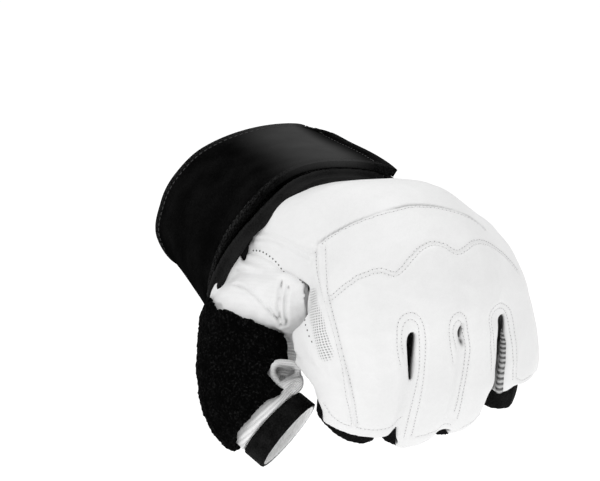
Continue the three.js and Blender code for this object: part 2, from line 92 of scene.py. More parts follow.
def soft_box(name, azimuth, height, away, size, power):
    """A large studio light, aimed at the middle of the fist."""
    light = bpy.data.lights.new(name, "AREA")
    light.shape = "RECTANGLE"
    light.size, light.size_y = size
    light.energy = power
    box = bpy.data.objects.new(name, light)
    bpy.context.collection.objects.link(box)
    aim(box, math.radians(azimuth), math.radians(height), away, LIGHT_CENTRE)


def place_lights():
    soft_box("key_light", azimuth=-55, height=35, away=0.9, size=(0.5, 0.5), power=1.5)
    soft_box("fill_light", azimuth=40, height=20, away=1.0, size=(0.8, 0.8), power=0.5)
    soft_box("top_light", azimuth=150, height=62, away=0.9, size=(0.3, 0.22), power=1.3)
    world = bpy.data.worlds.new("white_studio")
    world.use_nodes = True
    sky = world.node_tree.nodes["Background"]
    sky.inputs["Color"].default_value = (1, 1, 1, 1)
    sky.inputs["Strength"].default_value = SKY_STRENGTH
    bpy.context.scene.world = world
    bpy.context.scene.view_settings.view_transform = "Standard"


# Shader sums


class Shade:
    """A shader socket that can be used in Python expressions."""

    def __init__(self, tree, socket):
        self.tree, self.socket = tree, socket

    def node(self, kind, settings=None, out=0, **sockets):
        """Adds a node: its settings first, then the values or links of its sockets."""
        made = self.tree.nodes.new(kind)
        for key, value in (settings or {}).items():
            setattr(made, key, value)
        for key, value in sockets.items():
            name = key.replace("_", " ")
            into = made.inputs[int(key[1:])] if key[1:].isdigit() else made.inputs[name]
            if isinstance(value, Shade):
                self.tree.links.new(value.socket, into)
            else:
                into.default_value = value
        return Shade(self.tree, made.outputs[out])

    def maths(self, operation, first, second=None):
        """A sum of one or two values, each a number or a Shade."""
        given = {"i0": first}
        if second is not None:
            given["i1"] = second
        return self.node("ShaderNodeMath", {"operation": operation}, **given)

    def __add__(self, other):
        return self.maths("ADD", self, other)

    __radd__ = __add__

    def __sub__(self, other):
        return self.maths("SUBTRACT", self, other)

    def __rsub__(self, other):
        return self.maths("SUBTRACT", other, self)

    def __mul__(self, other):
        return self.maths("MULTIPLY", self, other)

    __rmul__ = __mul__

    def waves(self, pitch):
        """Rises and falls between -1 and 1, once every pitch."""
        return self.maths("SINE", self * (2 * math.pi / pitch))

    def above(self, low, high):
        """0 under low, 1 over high, and a smooth step between them."""
        return self.node(
            "ShaderNodeMapRange",
            {"interpolation_type": "SMOOTHSTEP"},
            Value=self,
            From_Min=low,
            From_Max=high,
        )

    def noise(self, size, detail=2.0, rough=0.5):
        """Noise whose lumps are about size across, on this vector."""
        return self.node(
            "ShaderNodeTexNoise", Vector=self, Scale=1 / size, Detail=detail, Roughness=rough
        )

    def cells(self, size):
        """How far the nearest cell's middle lies, for cells about size across."""
        return self.node("ShaderNodeTexVoronoi", Vector=self, Scale=1 / size)

    def marked(self, name):
        """A number from 0 to 1 that mark() wrote on the piece."""
        return self.node("ShaderNodeAttribute", {"attribute_name": name}, out=2)

    def split(self):
        """The x, y and z of this vector."""
        first = self.node("ShaderNodeSeparateXYZ", Vector=self)
        outputs = first.socket.node.outputs
        return [Shade(self.tree, outputs[i]) for i in range(3)]

    def blend(self, dark, light):
        """Goes from one colour to the other as this value goes from 0 to 1."""
        return self.node(
            "ShaderNodeMix",
            {"data_type": "RGBA"},
            out=2,
            Factor=self,
            i6=dark,
            i7=light,
        )


def grey(level):
    return (level, level, level, 1)


def material(name, paint, roughness, gloss):
    """A fabric or leather: paint(coords, uv) gives colour, roughness change and height."""
    made = bpy.data.materials.new(name)
    made.use_nodes = True
    tree = made.node_tree
    shader = tree.nodes["Principled BSDF"]
    coords = tree.nodes.new("ShaderNodeTexCoord")
    colour, rough, height = paint(
        Shade(tree, coords.outputs["Object"]), Shade(tree, coords.outputs["UV"])
    )
    tree.links.new(colour.socket, shader.inputs["Base Color"])
    tree.links.new((rough + roughness).socket, shader.inputs["Roughness"])
    raised = height.node("ShaderNodeBump", Strength=1.0, Distance=1.0, Height=height)
    tree.links.new(raised.socket, shader.inputs["Normal"])
    shader.inputs["Specular IOR Level"].default_value = gloss
    return made


def leather_paint(coords, uv):
    """Smooth leather: faint pores, fine creases, a strip of open mesh with its holes painted grey
    as shade, and painted shade, almost black, in the gaps.
    """
    pores = coords.cells(0.9 * MM)
    creases = coords.noise(2.4 * MM, 4.0, 0.6)
    cloud = coords.noise(22 * MM, 2.0)
    _, y, z = coords.split()
    strip = coords.marked("mesh_strip")
    net = (y + z * 0.3).waves(1.35 * MM) * (z - y * 0.3).waves(1.35 * MM)
    # The mesh strip's holes are painted grey, as the shade inside them.
    holes = net.above(0.15, 0.6) * strip
    plain = (cloud * 0.7 + creases * 0.3).above(0.3, 0.7).blend(grey(0.82), grey(0.87))
    colour = holes.blend(plain, grey(0.4))
    height = pores * 0.05 * MM + creases * 0.16 * MM - holes * 0.3 * MM
    # Painted shade, almost black, where the leather is marked as lying in a gap.
    return coords.marked("gap_shade").blend(colour, grey(0.006)), (creases - 0.5) * 0.16, height


def terry_paint(coords, uv):
    """Black towelling with short loops, some of them catching the light."""
    loops = coords.cells(1.0 * MM)
    fluff = coords.noise(0.7 * MM, 3.0, 0.75)
    patch = coords.noise(5 * MM, 2.0)
    light = (fluff * 0.8 + patch * 0.2 - loops * 0.15).above(0.42, 0.72)
    colour = light.blend(grey(0.0012), grey(0.03))
    return colour, (fluff - 0.5) * 0.1, fluff * 0.7 * MM - loops * 0.4 * MM


def neoprene_paint(coords, uv):
    """Black laminate of the cuff: a tight jersey over foam, with a painted highlight on its ridges.
    """
    jersey = coords.noise(0.45 * MM, 2.0, 0.6)
    cloud = coords.noise(9 * MM, 2.0)
    ridge = coords.marked("ridge")
    plain = (jersey * 0.5 + cloud * 0.5).above(0.35, 0.65).blend(grey(0.003), grey(0.013))
    # The ridge tops are painted paler, as a highlight.
    colour = (ridge * jersey.above(0.3, 0.6)).blend(plain, grey(0.015))
    return colour, (jersey - 0.5) * 0.2, jersey * 0.12 * MM


def strap_paint(coords, uv):
    """Black woven face of the strap: fine threads, with a painted sheen near its free end and a
    painted highlight on its rim.
    """
    across, along, _ = uv.split()
    weave = across.waves(0.9 * MM) * along.waves(0.9 * MM)
    grain = coords.noise(0.6 * MM, 3.0, 0.6)
    blotches = coords.noise(14 * MM, 3.0)
    rim = coords.marked("rim")
    # A painted sheen near the free end.
    end = (along.above(0.004, 0.012) * (1 - along.above(0.013, 0.034))) * (blotches * 0.6 + 0.6)
    colour = (blotches * 0.4 + grain * 0.45).above(0.3, 0.75).blend(grey(0.002), grey(0.011))
    end_sheen = end.blend(colour, grey(0.06))
    # A painted highlight, speckled, on the raised rim.
    rim_highlight = (rim * grain.above(0.4, 0.65)).blend(end_sheen, grey(0.03))
    return rim_highlight, (grain - 0.5) * 0.2, weave * 0.05 * MM + grain * 0.08 * MM


def elastic_paint(coords, uv):
    """Brushed black elastic band, lined with the white knit of its tube."""
    across, along, _ = uv.split()
    cords = across.waves(1.1 * MM)
    threads = along.waves(0.9 * MM)
    fuzz = coords.noise(0.5 * MM, 3.0, 0.7)
    cloud = coords.noise(4 * MM, 2.0)
    lining = coords.marked("lining")
    face = (fuzz * 0.7 + cloud * 0.3).above(0.35, 0.75).blend(grey(0.0015), grey(0.016))
    colour = lining.blend(face, grey(0.95))
    return colour, (fuzz - 0.5) * 0.1, (cords * 0.03 + threads * 0.03) * MM + fuzz * 0.15 * MM


def knit_paint(coords, uv):
    """The thumb's white stretch fabric: smooth, with open ribs where it is marked as ribbed, their
    grooves painted darker as shade, and painted shade, almost black, in the gaps.
    """
    across, along, _ = uv.split()
    ribbed = coords.marked("ribbed")
    wales = along.waves(1.25 * MM)
    rows = across.waves(0.62 * MM)
    fuzz = coords.noise(0.4 * MM, 2.0, 0.6)
    cloud = coords.noise(7 * MM, 2.0)
    loops = wales * 0.5 + 0.5
    # The ribs are the knit's real pattern; their grooves are painted darker grey, as shade.
    rib = (loops * 0.6 + fuzz * 0.5 + rows * 0.08).above(0.05, 0.7).blend(grey(0.68), grey(0.95))
    plain = (cloud * 0.6 + fuzz * 0.4).above(0.3, 0.7).blend(grey(0.83), grey(0.9))
    # Painted shade, almost black, in the gaps, the creases and the roll's hole.
    colour = coords.marked("gap_shade").blend(ribbed.blend(plain, rib), grey(0.02))
    height = (wales * 0.12 + rows * 0.04) * ribbed * MM + fuzz * 0.04 * MM
    return colour, (fuzz - 0.5) * 0.1, height


def purl_paint(coords, uv):
    """Finger tubes: thick rows across the finger, each a line of round loops; the light yarn is
    painted grey with dark grooves between rows, and almost black in the gaps, as painted shade.
    """
    across, along, _ = uv.split()
    rows = along.waves(1.5 * MM)
    wales = across.waves(1.5 * MM)
    fuzz = coords.noise(0.4 * MM, 2.0, 0.6)
    ridge = rows * 0.5 + 0.5
    # The rows' crests are painted light and their grooves dark, and the whole knit greyer than its
    # yarn, as the shade it lies in.
    lit = (ridge * 0.75 + wales * 0.1 + fuzz * 0.3).above(0.1, 1.0).blend(grey(0.09), grey(0.6))
    # Painted shade, almost black, where the way out is blocked.
    colour = coords.marked("gap_shade").blend(lit, grey(0.004))
    return colour, (fuzz - 0.5) * 0.1, (rows * 0.26 + wales * 0.07) * MM + fuzz * 0.05 * MM


def thread_paint(dark, light):
    """Twisted sewing thread, between two greys."""

    def paint(coords, uv):
        twist = coords.noise(0.3 * MM, 2.0)
        return twist.blend(grey(dark), grey(light)), twist * 0.1, twist * 0.05 * MM

    return paint


def hole_paint(dark, light):
    """The shade in a needle hole, between two greys."""

    def paint(coords, uv):
        dust = coords.noise(0.5 * MM, 1.0)
        return dust.blend(grey(dark), grey(light)), dust * 0.05, dust * 0.02 * MM

    return paint


def floor_paint(coords, uv):
    """Pale studio floor."""
    cloud = coords.noise(0.2, 2.0)
    return cloud.blend(grey(0.93), grey(0.95)), cloud * 0.05, cloud * 0.0002


# Shaping

# Each round of smoothing shrinks the piece, and then swells it back by a little more.
SHRINK, SWELL_BACK = 0.6, -0.615
# Corners of a solid this close together are one point.
WELD = 0.001
# Distances to a line are measured this far round its box, and are FAR outside.
SEARCH, FAR = 8, 99.0
ROLL_STEP = 1.2
# Gaps are looked for along the normal with each of these added, from GAP_START above the surface.
GAP_TILTS = (
    (0.0, 0.0, 0.0), (0.8, 0.2, 0.1), (-0.8, -0.1, 0.2), (0.1, -0.8, -0.3), (-0.1, 0.5, 0.8),
)
GAP_START, GAP_LOW, GAP_SPAN = 0.9, 0.45, 0.4
# Where the surface is further off than this, no stitch is made.
STITCH_REACH = 6


def only(piece):
    """Selects this piece and nothing else."""
    bpy.ops.object.select_all(action="DESELECT")
    piece.select_set(True)
    bpy.context.view_layer.objects.active = piece


def apply_all(piece):
    """Turns the piece's modifiers into its mesh."""
    only(piece)
    for modifier in list(piece.modifiers):
        bpy.ops.object.modifier_apply(modifier=modifier.name)


def points_of(piece):
    count = len(piece.data.vertices)
    flat = np.empty(count * 3)
    piece.data.vertices.foreach_get("co", flat)
    return flat.reshape(count, 3)


def put_points(piece, points):
    piece.data.vertices.foreach_set("co", points.ravel())
    piece.data.update()


def normals_of(piece):
    count = len(piece.data.vertices)
    flat = np.empty(count * 3)
    piece.data.vertices.foreach_get("normal", flat)
    return flat.reshape(count, 3)


def edges_of(piece):
    flat = np.empty(len(piece.data.edges) * 2, dtype=np.int64)
    piece.data.edges.foreach_get("vertices", flat)
    return flat.reshape(-1, 2)


def neighbour_mean(values, edges, count):
    """The mean of each point's neighbours."""
    ends = np.concatenate([edges[:, 0], edges[:, 1]])
    others = np.concatenate([edges[:, 1], edges[:, 0]])
    shared = np.maximum(np.bincount(ends, minlength=count), 1)
    return (
        np.stack(
            [np.bincount(ends, weights=values[others, i], minlength=count) for i in range(3)],
            axis=1,
        )
        / shared[:, None]
    )


def relax(piece, rounds):
    """Smooths facets away without letting the piece shrink."""
    points, edges = points_of(piece), edges_of(piece)
    for _ in range(rounds):
        for push in (SHRINK, SWELL_BACK):
            points += push * (neighbour_mean(points, edges, len(points)) - points)
    put_points(piece, points)


def soft_copy(nodes, name, voxel, rounds, puff=0.0, grow=0.0, extra=()):
    """A smooth closed skin over one or more CAD solids and extra rolls, fine enough to sculpt.

    The solids are grown before the remesh, and the skin is puffed out after its smoothing.
    """
    copies = []
    for node in nodes:
        copies.append(bpy.data.objects.new(name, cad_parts[node].data.copy()))
        bpy.context.collection.objects.link(copies[-1])
        copies[-1].data.materials.clear()
    copies += extra
    piece = copies[0]
    only(piece)
    if len(copies) > 1:
        for copy in copies[1:]:
            copy.select_set(True)
        bpy.ops.object.join()
    bpy.ops.object.mode_set(mode="EDIT")
    bpy.ops.mesh.select_all(action="SELECT")
    bpy.ops.mesh.remove_doubles(threshold=WELD * MM)
    bpy.ops.object.mode_set(mode="OBJECT")
    if grow:
        put_points(piece, points_of(piece) + normals_of(piece) * grow * MM)
    skin = piece.modifiers.new("skin", "REMESH")
    skin.mode = "VOXEL"
    skin.voxel_size = voxel * MM
    apply_all(piece)
    relax(piece, rounds)
    if puff:
        put_points(piece, points_of(piece) + normals_of(piece) * puff * MM)
    bpy.ops.object.shade_smooth()
    return piece


def roll(points, radius):
    """A round bead of cloth along a route, to be joined to a soft copy."""
    curve = bpy.data.curves.new("roll", "CURVE")
    curve.dimensions = "3D"
    curve.bevel_depth = radius * MM
    curve.bevel_resolution = 3
    curve.use_fill_caps = True
    spots = route(points, ROLL_STEP)
    spline = curve.splines.new("POLY")
    spline.points.add(len(spots) - 1)
    for spot, point in zip(spots, spline.points):
        point.co = (*spot, 1)
    piece = bpy.data.objects.new("roll", curve)
    bpy.context.collection.objects.link(piece)
    only(piece)
    bpy.ops.object.convert(target="MESH")
    return bpy.context.object


def fade(away, width, power=2):
    """1 at no distance, falling to 0 about a width away, with a flatter top for a higher power."""
    return np.exp(-((away / width) ** power))


def pull(points, moves):
    """Shifts points by small moves that fade out over their reach: (place, move, reach), in mm."""
    points = np.array(points, dtype=float)
    shift = np.zeros_like(points)
    for place, move, reach in moves:
        away = np.linalg.norm(points - place, axis=1)
        shift += fade(away, reach)[:, None] * np.array(move)
    return points + shift


def nudge(piece, moves):
    """Pulls the points of a piece by small moves."""
    put_points(piece, pull(points_of(piece) / MM, moves) * MM)


def route(points, step=0.4):
    """A smooth line through the points, in metres, with samples step mm apart."""
    knots = [Vector(p) * MM for p in points]
    if len(knots) == 2:
        knots = [knots[0], knots[0].lerp(knots[1], 0.5), knots[1]]
    ends = [knots[0] * 2 - knots[1], *knots, knots[-1] * 2 - knots[-2]]
    line = []
    for a, b, c, d in zip(ends, ends[1:], ends[2:], ends[3:]):
        count = max(2, int((c - b).length / (step * MM)))
        for i in range(count):
            t = i / count
            line.append(
                0.5
                * (
                    2 * b
                    + (c - a) * t
                    + (2 * a - 5 * b + 4 * c - d) * t * t
                    + (3 * b - a - 3 * c + d) * t * t * t
                )
            )
    line.append(knots[-1])
    return line


def tree_of(line):
    """Finds the nearest sample of a line."""
    tree = kdtree.KDTree(len(line))
    for i, p in enumerate(line):
        tree.insert(p, i)
    tree.balance()
    return tree


def distance_to(points, line):
    """How far each point is from the line, in mm, and FAR where it is well outside its box."""
    tree = tree_of(line)
    low = np.min([list(p) for p in line], axis=0) - SEARCH * MM
    high = np.max([list(p) for p in line], axis=0) + SEARCH * MM
    inside = np.where(((points > low) & (points < high)).all(axis=1))[0]
    away = np.full(len(points), FAR)
    for i in inside:
        away[i] = tree.find(points[i])[2] / MM
    return away


def sew_down(piece, points, depth, width, swell=0.3):
    """Pulls the surface in along a seam, and lets it puff up on both sides."""
    places = points_of(piece)
    away = distance_to(places, route(points))
    move = -depth * fade(away, width)
    move += swell * depth * fade(away - 2.4 * width, 1.3 * width)
    put_points(piece, places + normals_of(piece) * (move * MM)[:, None])


def ripple(piece, size, height, seed):
    """Slow uneven swells, as hide or cloth over foam has."""
    places = points_of(piece)
    shift = Vector((seed * 7.3, seed * 3.1, seed * 5.7))
    move = np.array([noise.noise(Vector(p) / (size * MM) + shift) for p in places])
    put_points(piece, places + normals_of(piece) * (move * height * MM)[:, None])


def mark(piece, name, values):
    """Writes one number a point, for the materials to read."""
    layer = piece.data.attributes.new(name, "FLOAT", "POINT")
    layer.data.foreach_set("value", np.clip(values, 0, 1))


def gaps_of(piece, solids, reach=9.0, rounds=4):
    """Where the way out is blocked close by, 0 to 1: in the slots and between neighbours."""
    places, normals = points_of(piece), normals_of(piece)
    blocked = np.zeros(len(places))
    for i, (place, normal) in enumerate(zip(places, normals)):
        ahead = Vector(normal)
        start = Vector(place) + ahead * GAP_START * MM
        for tilt in GAP_TILTS:
            gap = solids.ray_cast(start, ahead + Vector(tilt), reach * MM)[3]
            if gap is not None:
                blocked[i] += 1 / len(GAP_TILTS)
    mean = np.stack([blocked] * 3, axis=1)
    edges = edges_of(piece)
    for _ in range(rounds):
        mean = neighbour_mean(mean, edges, len(places))
    return np.clip((mean[:, 0] - GAP_LOW) / GAP_SPAN, 0, 1)


def near(piece, line, width):
    """1 on a route, falling to 0 about a width away."""
    return fade(distance_to(points_of(piece), route(line)), width)


def wrap_coords(piece, axis):
    """A UV map, in metres, round and along a tube, and a mark where the tube faces inward."""
    line = route(axis, 0.5)
    spots = np.array([list(p) for p in line])
    run = np.concatenate([[0], np.cumsum(np.linalg.norm(np.diff(spots, axis=0), axis=1))])
    heading = np.gradient(spots, axis=0)
    heading /= np.linalg.norm(heading, axis=1)[:, None]
    tree = tree_of(line)
    places = points_of(piece)
    nearest = np.array([tree.find(p)[1] for p in places])
    away = places - spots[nearest]
    forward = heading[nearest]
    slide = (away * forward).sum(axis=1)
    away -= slide[:, None] * forward
    upright = abs(forward[:, 2]).mean() >= 0.8
    side = np.cross(forward, (1.0, 0.0, 0.0) if upright else (0.0, 0.0, 1.0))
    side /= np.linalg.norm(side, axis=1)[:, None]
    other = np.cross(forward, side)
    angle = np.arctan2((away * other).sum(axis=1), (away * side).sum(axis=1))
    inward = -(normals_of(piece) * away).sum(axis=1) / np.linalg.norm(away, axis=1)
    mark(piece, "lining", (inward - 0.3) / 0.3)
    radius = float(np.linalg.norm(away, axis=1).mean())
    along = run[nearest] + slide
    mesh = piece.data
    corners = np.empty(len(mesh.loops), dtype=np.int64)
    mesh.loops.foreach_get("vertex_index", corners)
    starts = np.empty(len(mesh.polygons), dtype=np.int64)
    totals = np.empty(len(mesh.polygons), dtype=np.int64)
    mesh.polygons.foreach_get("loop_start", starts)
    mesh.polygons.foreach_get("loop_total", totals)
    first = np.repeat(angle[corners[starts]], totals)
    turn = angle[corners]
    turn = turn - 2 * math.pi * np.round((turn - first) / (2 * math.pi))
    layer = mesh.uv_layers.new(name="UVMap")
    layer.data.foreach_set("uv", np.stack([turn * radius, along[corners]], axis=1).ravel())


def surface_of(*pieces):
    """Something to drop stitches on: the joined surface of these pieces."""
    corners, faces, start = [], [], 0
    for piece in pieces:
        corners += [v.co.copy() for v in piece.data.vertices]
        faces += [[start + i for i in p.vertices] for p in piece.data.polygons]
        start = len(corners)
    return BVHTree.FromPolygons(corners, faces)


def bead(length, width, height):
    """The points and faces of one small stitch that lies along x, with its middle on z = 0."""
    rings, sides = ((-0.5, 0.35), (-0.3, 1.0), (0.3, 1.0), (0.5, 0.35)), 6
    points, faces = [], []
    for along, wide in rings:
        for k in range(sides):
            turn = 2 * math.pi * k / sides
            across, up = width / 2 * wide * math.cos(turn), height / 2 * wide * math.sin(turn)
            points.append((length * along, across, up))
    for r in range(len(rings) - 1):
        for k in range(sides):
            n = (k + 1) % sides
            faces.append((r * sides + k, r * sides + n, (r + 1) * sides + n, (r + 1) * sides + k))
    faces.append(tuple(range(sides - 1, -1, -1)))
    faces.append(tuple(range((len(rings) - 1) * sides, len(rings) * sides)))
    return points, faces


def spaced(line, pitch, start=0.5):
    """(place, direction) every pitch along the line, in metres."""
    spots, left = [], pitch * start
    for a, b in zip(line, line[1:]):
        gap = (b - a).length
        while left <= gap and gap > 0:
            spots.append((a.lerp(b, left / gap), (b - a).normalized()))
            left += pitch
        left -= gap
    return spots


class Stitching:
    """Stitches of one kind, gathered into one mesh."""

    def __init__(self, name, length, width, height, sink):
        self.name, self.shape, self.sink = name, bead(length, width, height), sink
        self.points, self.faces = [], []

    def add(self, place, normal, ahead):
        """One stitch on the surface, lying along ahead."""
        across = normal.cross(ahead).normalized()
        ahead = across.cross(normal).normalized()
        turn = Matrix((ahead, across, normal)).transposed()
        start = len(self.points)
        middle = place - normal * self.sink * MM
        self.points += [middle + turn @ Vector(p) * MM for p in self.shape[0]]
        self.faces += [[start + i for i in face] for face in self.shape[1]]

    def sew(self, surface, points, pitch, aside=(0.0,), start=0.5):
        """A row of stitches along a route, or several rows side by side."""
        for place, ahead in spaced(route(points), pitch * MM, start):
            for off in aside:
                spot, normal, _, gap = surface.find_nearest(place)
                if spot is None or gap > STITCH_REACH * MM:
                    continue
                if off:
                    beside = spot + normal.cross(ahead).normalized() * off * MM
                    spot, normal, _, _ = surface.find_nearest(beside)
                self.add(spot, normal, ahead)

    def finish(self, finish, slot=None):
        """Makes the mesh, with its material and its body. The slot is not used."""
        mesh = bpy.data.meshes.new(self.name)
        mesh.from_pydata(self.points, [], self.faces)
        mesh.update()
        piece = bpy.data.objects.new(self.name, mesh)
        bpy.context.collection.objects.link(piece)
        mesh.materials.append(finish)
        only(piece)
        bpy.ops.object.shade_smooth()
        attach(piece, "root")
        return piece


def dress(piece, nodes, finish):
    """Gives a finished piece its material and its body, and hides the nodes that it stands for."""
    piece.data.materials.clear()
    piece.data.materials.append(finish)
    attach(piece, "root")
    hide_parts(*nodes)


# The scene

place_camera()
place_lights()

bpy.ops.object.select_all(action="DESELECT")
bpy.ops.mesh.primitive_plane_add(size=FLOOR_SIZE, location=(0, 0, 0))
floor = bpy.context.object
floor.name = "studio_floor"
for corner in floor.data.vertices:
    corner.co.z = FLOOR_LEVEL

leather = material("white_leather", leather_paint, 0.45, gloss=0.35)
terry = material("black_terry", terry_paint, 0.9, gloss=0.02)
neoprene = material("black_jersey", neoprene_paint, 0.6, gloss=0.05)
webbing = material("strap_face", strap_paint, 0.85, gloss=0.0)
elastic = material("black_elastic", elastic_paint, 0.8, gloss=0.03)
knit = material("white_rib_knit", knit_paint, 0.85, gloss=0.2)
purl = material("finger_knit_painted_shade", purl_paint, 0.9, gloss=0.2)
white_thread = material("white_thread", thread_paint(0.72, 0.9), 0.6, gloss=0.3)
black_thread = material("black_thread", thread_paint(0.03, 0.07), 0.6, gloss=0.2)
hole_shade = material("hole_shade", hole_paint(0.36, 0.52), 0.9, gloss=0.1)
pin_shade = material("pin_shade", hole_paint(0.03, 0.1), 0.9, gloss=0.1)
pale_floor = material("pale_floor", floor_paint, 0.9, gloss=0.1)
floor_shader = pale_floor.node_tree.nodes["Principled BSDF"]
floor_shader.inputs["Emission Color"].default_value = (1, 1, 1, 1)
floor_shader.inputs["Emission Strength"].default_value = FLOOR_GLOW
floor.data.materials.append(pale_floor)

# Seams and rows of stitches: routes over the glove, in mm

BACK_SEAM = [
    (-13.8, -62.3, 17.5), (-7.2, -65.3, 22.6), (-2, -67.3, 25.6), (4.9, -68.6, 27.9),
    (12.3, -68.7, 29.3), (18.5, -68, 29.6), (25.9, -68.4, 28.6), (32.9, -69.9, 26.7),
    (40.4, -70.5, 22.9), (46.1, -70, 18.1),
]
KNUCKLE_WAVE = [
    (-17, -81.9, 4.3), (-13.7, -83.8, 7.9), (-9.8, -84.9, 11.2), (-6.5, -85.8, 13.3),
    (-1.9, -87.2, 15), (1.2, -88.5, 15.1), (3.9, -90, 14.2), (7.4, -89.4, 15.8),
    (11.8, -87.4, 18.9), (16.3, -85.1, 20.7), (20.4, -84.2, 21.3), (23.9, -84.9, 20.4),
    (27.2, -86.1, 18.2), (29.4, -86, 17.4), (32.3, -84.7, 17.8), (36.4, -82, 18.5),
    (41.3, -79.5, 17.3), (47.7, -75.7, 12.7), (54.5, -71.4, 6), (59.7, -69.2, -0.6),
]
INDEX_LEFT = [
    (-15, -62.2, 15.7), (-15.9, -65.6, 11.1), (-16.5, -69.5, 7.4), (-17.8, -76.4, 5.1),
    (-17.9, -82.4, 2), (-17.2, -87.8, -5.2), (-15.9, -90.8, -14.6), (-14.2, -91.6, -24),
    (-12.3, -91, -34.1), (-10.4, -89, -41.9),
]
INDEX_RIGHT = [
    (-12.5, -65.3, 17.3), (-14.1, -70.5, 12.8), (-16.1, -77.2, 8.2), (-16.7, -82.3, 4.4),
    (-16.2, -87.8, -3.1), (-15.1, -90.9, -10.9), (-13.4, -92.5, -18.8), (-11.5, -92.7, -28.1),
    (-8.9, -90.3, -40.4),
]
SLOT_ROWS = [
    [
        (4.2, -96.6, -18.1), (3.2, -96.9, -11.8), (2.7, -96.7, -5.8), (2.9, -96.4, -2.2),
        (4.2, -96, 0.5), (6.7, -95.9, 1.8), (9.5, -96, 1.3), (11.6, -96.7, -1.3), (12.9, -97, -6.4),
        (13.2, -96.8, -13.3), (12.8, -96, -22.7), (12.6, -95, -30), (12.2, -92.9, -38.7),
        (11.9, -88.9, -49.1),
    ],
    [
        (5.4, -96.2, -13.9), (4.7, -96.7, -7.6), (4.6, -96.7, -3.1), (5.9, -96.4, -1),
        (7.9, -96.3, -0.5), (9.8, -96.4, -1.9), (10.8, -96.4, -4.8), (11.2, -96.1, -12.6),
        (11, -95.4, -21.2), (10.3, -94.2, -29.3), (9.9, -91.8, -38.8), (9.5, -87.4, -49.8),
    ],
    [
        (24.5, -95.2, -20.3), (23, -96, -13.6), (22.4, -96.3, -7.3), (22.8, -96.2, -3.3),
        (24.4, -95.7, -1.5), (27, -94.7, -1.4), (29.9, -93.1, -4.1), (31.8, -92.7, -8.7),
        (32.2, -92, -17.5), (31.7, -91.2, -25.4), (31.2, -89.2, -34.8), (31.1, -84.9, -47),
    ],
    [
        (25.6, -94.7, -15.3), (24.5, -95.8, -9.3), (24.7, -95.8, -5.6), (26.4, -94.8, -4.3),
        (28.6, -93.5, -5.8), (30.3, -92.4, -9.3), (30.6, -91.8, -15.8), (30.4, -91, -23.7),
        (29.8, -89.5, -32.1), (29.4, -86.2, -43),
    ],
    [
        (42.8, -86.5, -30), (42.2, -88.2, -21.3), (41.1, -89.5, -12.9), (39.8, -90.2, -7.8),
        (40.9, -89.5, -4.3), (45, -86.3, -3.7), (50.3, -82, -7.5), (53.4, -80.5, -13.1),
        (54.1, -80.4, -21.8), (54.2, -79.9, -29.9), (54.2, -78.3, -37.7),
    ],
    [
        (44.4, -86.2, -22.5), (42.8, -88.1, -14.5), (41.4, -89.3, -8.4), (43, -88, -6),
        (46.8, -84.3, -6.5), (49.8, -82, -9.4), (51.4, -81.5, -13.9), (51.8, -81.4, -22.6),
        (52, -80.6, -30.8), (52.3, -78.8, -38),
    ],
]
HEMS = [
    [
        (-19.4, -84.1, -33.1), (-16.9, -85.3, -38), (-13.2, -87.6, -41), (-7.4, -90, -42.7),
        (-0.5, -91.4, -43.2), (5, -90.7, -42), (7.9, -90, -39.3),
    ],
    [(13.2, -88.5, -49.9), (17.5, -88.2, -50), (22.8, -86.5, -49.7), (29, -82.7, -50.3)],
    [(34, -80.3, -53.7), (38.6, -80.3, -52), (44, -77, -49)],
    [(55, -77.8, -38.1), (61.6, -72.2, -42.4), (68, -67.2, -43.6)],
]
MESH_STRIP = [
    (-19, -69.5, 0.6), (-19.6, -73.7, -0.2), (-20.8, -80.4, -3.3), (-20.4, -84.6, -9.1),
    (-19.9, -86.4, -13),
]
EYELETS = [
    (-22.2, -72, -5.6), (-22.6, -73.8, -6.6), (-22.8, -76.6, -8.0), (-22.8, -78.7, -9.8),
    (-22.4, -80.9, -11.5),
]
NEEDLE_SEAM = [
    (-31.1, -40.2, 8.5), (-28.8, -43.8, 9.3), (-26.7, -47.5, 8.6), (-25.1, -50.7, 7),
    (-23.8, -53.4, 4.7), (-22.4, -56, 3.3), (-19.3, -62.3, 3.1),
]
BACK_RIDGES = [
    [
        (-29.6, -39.4, 13.2), (-26.1, -44.6, 14.7), (-22.7, -50.2, 14.8), (-19.5, -56.1, 14),
        (-16.3, -62.1, 13.6),
    ],
    [
        (-29.9, -40.3, 11.6), (-26.4, -45.5, 13), (-23, -51.1, 12.9), (-20.2, -56.2, 12.2),
        (-17.6, -61.6, 11.3),
    ],
]
THUMB_CREASES = [
    [
        (-39, -44.8, -1.6), (-36.9, -50.1, -1.3), (-34.7, -54.9, -2.8), (-31.7, -59.2, -6),
        (-27.3, -60.5, -11.1),
    ],
    [(-24.4, -55.3, 2.9), (-26.8, -59.1, -0.6), (-27.7, -60.7, -5.9), (-26.9, -60.3, -13.2)],
    [(-22.8, -58, 1.5), (-24.6, -60.8, -0.2), (-25.5, -61.7, -5.9), (-25.1, -60.7, -12.5)],
]

solids = surface_of(*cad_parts.values())

# Leather shell


def between(first, second, count=30):
    """The route half way between two others, in mm."""
    one, two = route(first), route(second)
    middle = []
    for i in range(count + 1):
        a = one[i * (len(one) - 1) // count]
        b = two[i * (len(two) - 1) // count]
        middle.append(tuple(a.lerp(b, 0.5) / MM))
    return middle


SHELL_NODES = ["back_panel", "knuckle_panel", "index_side_panel"]
INDEX_RIDGE = between(INDEX_LEFT, INDEX_RIGHT)
STRIP_WIDTH, RIDGE_CLEAR = 3.2, 3
# The middle slot's slit, painted dark as shade, and the place where the leather meets the thumb.
SLIT = [(28.2, -93.5, -7.4), (27.9, -93.3, -9.8), (28.0, -92.8, -12.3), (29.2, -90.7, -16.0)]
THUMB_TOUCH, THUMB_CLEAR = (-18.7, -60.4, -0.1), 7
